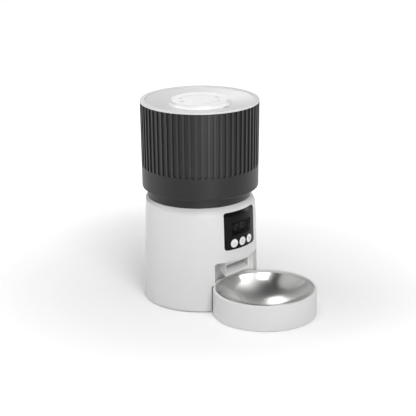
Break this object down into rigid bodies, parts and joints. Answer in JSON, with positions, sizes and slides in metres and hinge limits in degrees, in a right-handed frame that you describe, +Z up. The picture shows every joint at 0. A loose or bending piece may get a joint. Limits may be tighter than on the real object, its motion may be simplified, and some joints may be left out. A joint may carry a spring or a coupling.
{
  "type": "automatic pet feeder",
  "caption": "Drum-shaped dry food feeder with a fluted hopper and locking lid, a front control panel, a gear-driven rotor and a steel bowl in a docking holder.",
  "frame": {"origin": "on the feeder body's upright axis at floor level", "axes": "+Z up; -Y is the front, where the panel and the bowl are; +X to the right seen from the front"},
  "size_m": [0.181, 0.2995, 0.3115],
  "materials": {
    "white_shell": "smooth satin gloss",
    "cover_plastic": "fine matt",
    "smoke_hopper": "satin, smoky dark grey",
    "grey_moulding": "matt",
    "panel_black": "gloss",
    "window_glass": "clear, tinted",
    "display_black": "matt",
    "button_white": "satin",
    "gear_white": "smooth acetal",
    "soft_rubber": "matt",
    "bowl_steel": "fine brushed",
    "steel": "plain zinc",
    "brass": "sintered",
    "board_green": "solder mask"
  },
  "bodies": {
    "base": {"base_shell": "white_shell", "bottom_cover": "cover_plastic", "foot_ring": "soft_rubber", "case_screws": "steel", "battery_contacts": "steel", "inlet_socket": "display_black", "chute": "white_shell", "chute_sensors": "display_black", "gearbox_tray": "grey_moulding", "gearbox_lid": "grey_moulding", "gearbox_screws": "steel", "gear_pins": "steel", "shaft_bush": "brass", "motor": "steel", "control_panel": "panel_black", "display_window": "window_glass", "display_module": "display_black", "circuit_board": "board_green", "push_switches": "display_black"},
    "battery_door": {"battery_door": "cover_plastic"},
    "motor_pinion": {"motor_pinion": "gear_white"},
    "first_gear": {"first_gear": "gear_white"},
    "second_gear": {"second_gear": "gear_white"},
    "output_gear": {"output_gear": "gear_white"},
    "button_left": {"button_left": "button_white"},
    "button_centre": {"button_centre": "button_white"},
    "button_right": {"button_right": "button_white"},
    "hopper": {"hopper": "smoke_hopper", "funnel": "grey_moulding"},
    "rotor": {"rotor": "grey_moulding", "rotor_blades": "soft_rubber", "stirring_cap": "grey_moulding"},
    "lid": {"lid_shell": "white_shell", "guide_plate": "cover_plastic", "lid_screws": "steel", "lid_seal": "soft_rubber", "desiccant_box": "cover_plastic"},
    "knob": {"lid_knob": "white_shell", "lock_cam": "gear_white", "knob_screw": "steel"},
    "lock_tongue_1": {"lock_tongue_1": "gear_white"},
    "lock_tongue_2": {"lock_tongue_2": "gear_white"},
    "lock_tongue_3": {"lock_tongue_3": "gear_white"},
    "desiccant_grille": {"desiccant_grille": "cover_plastic"},
    "bowl_holder": {"bowl_holder": "white_shell", "holder_pads": "soft_rubber"},
    "steel_bowl": {"steel_bowl": "bowl_steel"}
  },
  "joints": [
    {"name": "battery_door_hinge", "type": "hinge", "parent": "base", "child": "battery_door", "pos_m": [0, 0.034, 0.0034], "axis": [1, 0, 0], "range_deg": [0, 90]},
    {"name": "hopper_lift", "type": "slide", "parent": "base", "child": "hopper", "axis": [0, 0, 1], "range_m": [0, 0.1]},
    {"name": "rotor_spin", "type": "hinge", "parent": "hopper", "child": "rotor", "pos_m": [0, 0, 0.17], "axis": [0, 0, 1], "continuous": true},
    {"name": "output_spin", "type": "hinge", "parent": "base", "child": "output_gear", "pos_m": [0, 0, 0.14], "axis": [0, 0, 1], "continuous": true},
    {"name": "second_gear_spin", "type": "hinge", "parent": "base", "child": "second_gear", "pos_m": [0.02705, 0.00725, 0.14], "axis": [0, 0, 1], "continuous": true},
    {"name": "first_gear_spin", "type": "hinge", "parent": "base", "child": "first_gear", "pos_m": [0.01606, 0.03081, 0.14], "axis": [0, 0, 1], "continuous": true},
    {"name": "motor_spin", "type": "hinge", "parent": "base", "child": "motor_pinion", "pos_m": [-0.00955, 0.03533, 0.13], "axis": [0, 0, 1], "continuous": true},
    {"name": "lid_lift", "type": "slide", "parent": "hopper", "child": "lid", "axis": [0, 0, 1], "range_m": [0, 0.08]},
    {"name": "knob_turn", "type": "hinge", "parent": "lid", "child": "knob", "pos_m": [0, 0, 0.3], "axis": [0, 0, 1], "range_deg": [0, 60]},
    {"name": "bowl_holder_slide", "type": "slide", "parent": "base", "child": "bowl_holder", "axis": [0, -1, 0], "range_m": [0, 0.08]},
    {"name": "bowl_lift", "type": "slide", "parent": "bowl_holder", "child": "steel_bowl", "axis": [0, 0, 1], "range_m": [0, 0.018]},
    {"name": "grille_drop", "type": "slide", "parent": "lid", "child": "desiccant_grille", "axis": [0, 0, -1], "range_m": [0, 0.02]},
    {"name": "tongue_slide_1", "type": "slide", "parent": "lid", "child": "lock_tongue_1", "axis": [0, 1, 0], "range_m": [0, 0.0024]},
    {"name": "tongue_slide_2", "type": "slide", "parent": "lid", "child": "lock_tongue_2", "axis": [-0.866, -0.5, 0], "range_m": [0, 0.0024]},
    {"name": "tongue_slide_3", "type": "slide", "parent": "lid", "child": "lock_tongue_3", "axis": [0.866, -0.5, 0], "range_m": [0, 0.0024]},
    {"name": "button_left_press", "type": "slide", "parent": "base", "child": "button_left", "axis": [0.1942, 0.981, 0], "range_m": [0, 0.0009], "stiffness_N_per_m": 800},
    {"name": "button_centre_press", "type": "slide", "parent": "base", "child": "button_centre", "axis": [0, 1, 0], "range_m": [0, 0.0009], "stiffness_N_per_m": 800},
    {"name": "button_right_press", "type": "slide", "parent": "base", "child": "button_right", "axis": [-0.1942, 0.981, 0], "range_m": [0, 0.0009], "stiffness_N_per_m": 800}
  ],
  "couplings": [
    {"joint": "output_spin", "follows": "rotor_spin", "ratio": 1},
    {"joint": "second_gear_spin", "follows": "rotor_spin", "ratio": -3},
    {"joint": "first_gear_spin", "follows": "rotor_spin", "ratio": 10},
    {"joint": "motor_spin", "follows": "rotor_spin", "ratio": -33.333},
    {"joint": "tongue_slide_1", "follows": "knob_turn", "m_per_rad": 0.0022918},
    {"joint": "tongue_slide_2", "follows": "knob_turn", "m_per_rad": 0.0022918},
    {"joint": "tongue_slide_3", "follows": "knob_turn", "m_per_rad": 0.0022918}
  ]
}
